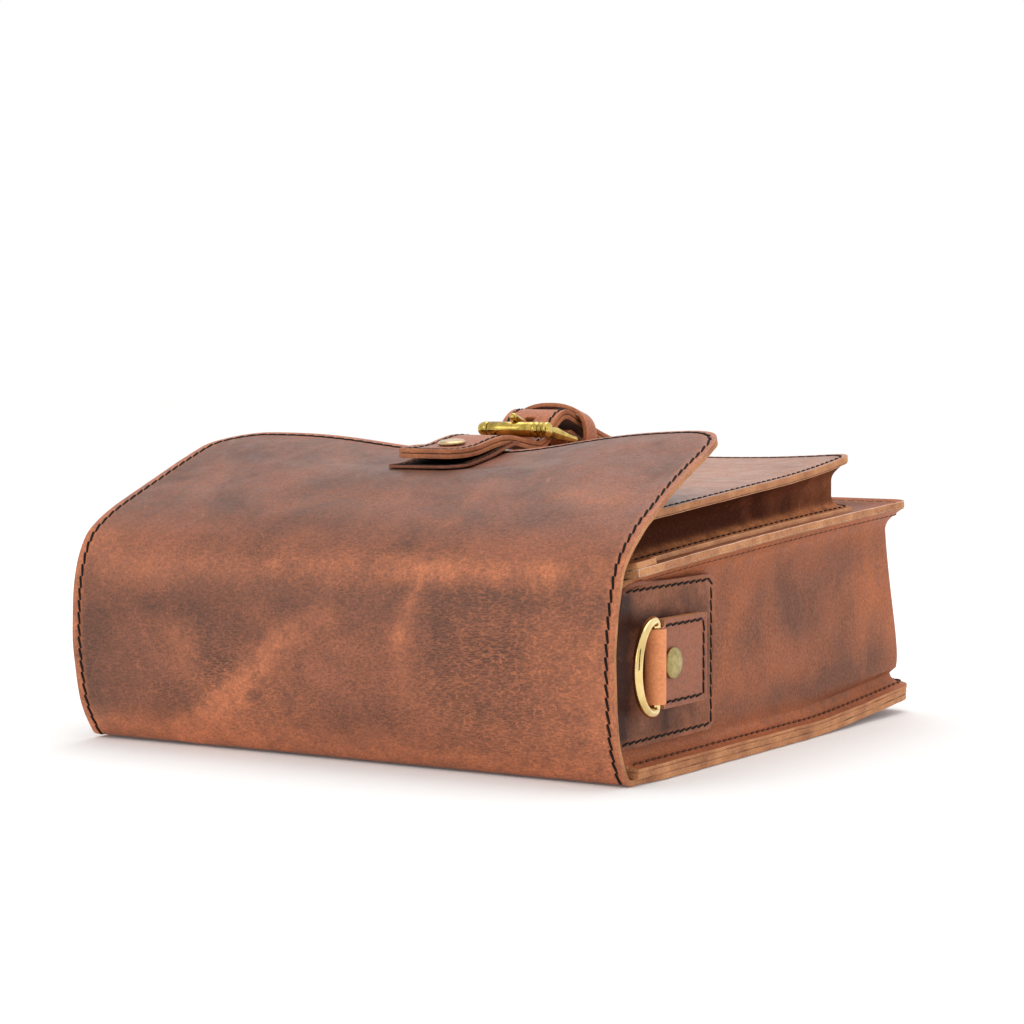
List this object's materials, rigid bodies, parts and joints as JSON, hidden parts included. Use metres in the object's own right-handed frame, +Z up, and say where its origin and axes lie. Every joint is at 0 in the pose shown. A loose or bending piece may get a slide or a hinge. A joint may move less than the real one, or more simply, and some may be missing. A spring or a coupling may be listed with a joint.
{
  "type": "leather satchel",
  "caption": "Boxy brown leather satchel lying on its back, closed: full flap, gusseted body, front pocket, buckled strap and side D-rings; carries books and small things.",
  "frame": {"origin": "under the middle of the bag's box, on the surface it lies on", "axes": "+Z up through the front of the bag, +Y towards the bag's bottom, -Y towards its mouth and the flap's fold, +X to the side that carries the right D-ring"},
  "size_m": [0.2672, 0.2734, 0.1385],
  "materials": {
    "flap_leather": "oiled pull-up leather, brown with orange-tan bends and dark clouds",
    "body_leather": "oiled pull-up leather, brown",
    "pocket_leather": "oiled pull-up leather, dark brown",
    "patch_leather": "oiled leather, dark brown",
    "tab_leather": "leather, orange tan",
    "strap_leather": "oiled leather, red brown",
    "ring_brass": "polished",
    "buckle_brass": "polished, slightly worn",
    "aged_brass": "aged, dull"
  },
  "bodies": {
    "bag": {"flap": "flap_leather", "back_panel": "body_leather", "main_gusset": "body_leather", "front_panel": "body_leather", "front_top_band": "body_leather", "pocket_gusset": "body_leather", "pocket_panel": "pocket_leather", "side_patch_right": "patch_leather", "side_patch_left": "patch_leather", "ring_tab_right": "tab_leather", "ring_tab_left": "tab_leather", "tab_rivet_right": "aged_brass", "tab_rivet_left": "aged_brass", "snap": "aged_brass", "flap_patch": "strap_leather", "closure_strap": "strap_leather", "buckle_chape": "strap_leather", "strap_keeper": "strap_leather", "buckle_frame": "buckle_brass", "buckle_roller": "buckle_brass", "buckle_prong": "buckle_brass"},
    "ring_right": {"d_ring_right": "ring_brass"},
    "ring_left": {"d_ring_left": "ring_brass"}
  },
  "joints": [
    {"name": "d_ring_right_swing", "type": "hinge", "parent": "bag", "child": "ring_right", "pos_m": [0.1283, -0.0981, 0.0434], "axis": [0, 0, 1], "range_deg": [-10, 140]},
    {"name": "d_ring_left_swing", "type": "hinge", "parent": "bag", "child": "ring_left", "pos_m": [-0.1283, -0.0981, 0.0434], "axis": [0, 0, -1], "range_deg": [-10, 140]}
  ]
}
